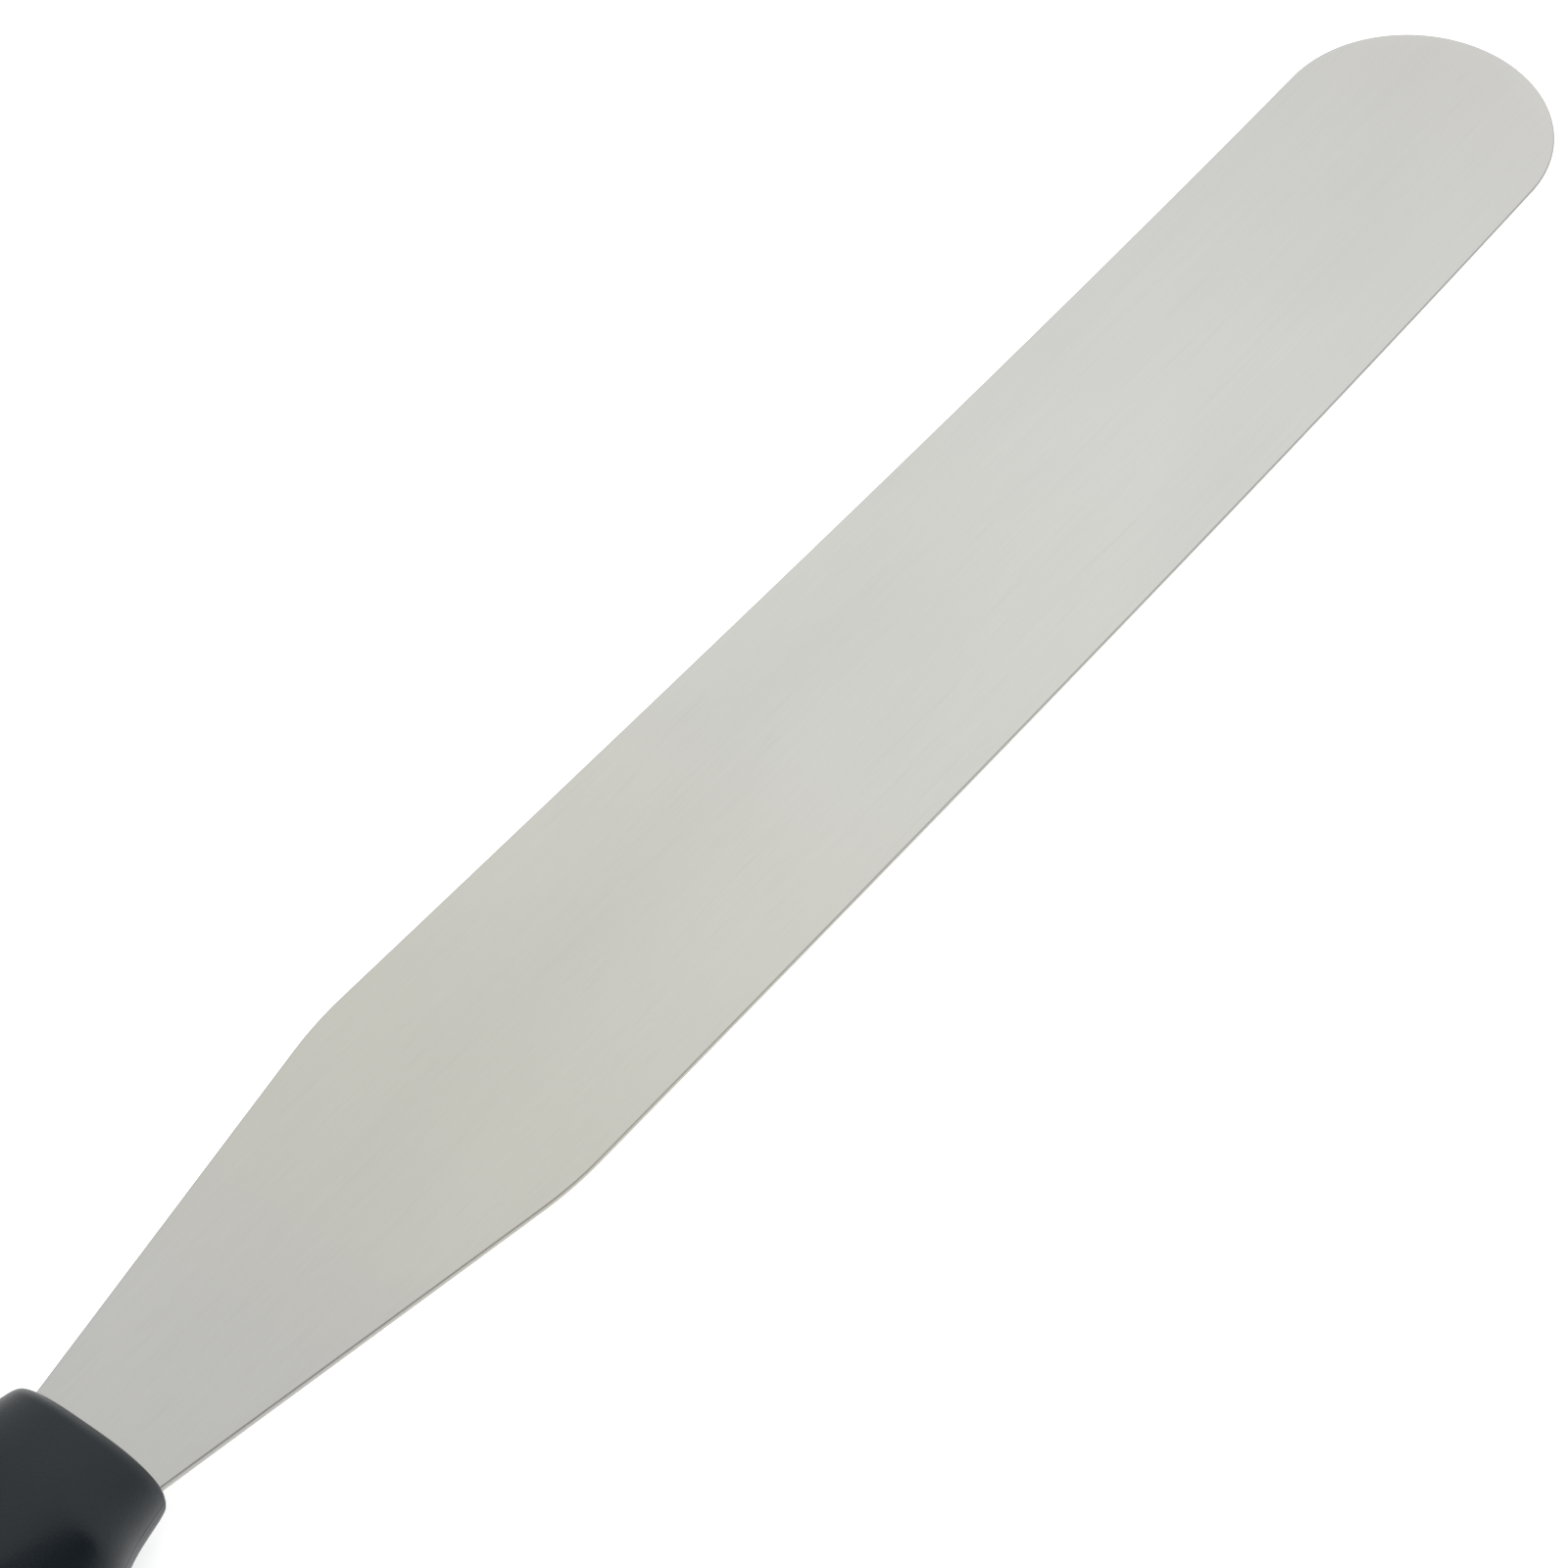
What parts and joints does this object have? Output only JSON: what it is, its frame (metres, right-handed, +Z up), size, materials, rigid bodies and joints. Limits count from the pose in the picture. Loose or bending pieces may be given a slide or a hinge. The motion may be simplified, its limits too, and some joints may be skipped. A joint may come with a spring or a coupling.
{
  "type": "icing spatula",
  "caption": "Straight icing spatula: thin flexible round-ended steel blade with a hidden tang in a waisted black moulded handle with a hanging hole.",
  "frame": {"origin": "on the table that the tool lies on, under the middle of its bounding box", "axes": "+X from the butt of the handle to the tip of the blade, +Z up from the table, +Y across the blade. The tool lies as it comes to rest, on the underside of the handle and the underside of the bowed blade, so the neck and the tang slope down towards the tip by 2.49 degrees"},
  "size_m": [0.3798, 0.0352, 0.0194],
  "materials": {
    "blade_steel": "satin stainless steel, finely brushed along the blade",
    "handle_plastic": "black moulded polypropylene with a fine eggshell texture and a soft sheen"
  },
  "bodies": {
    "root": {"blade": "blade_steel", "handle": "handle_plastic"}
  },
  "joints": []
}
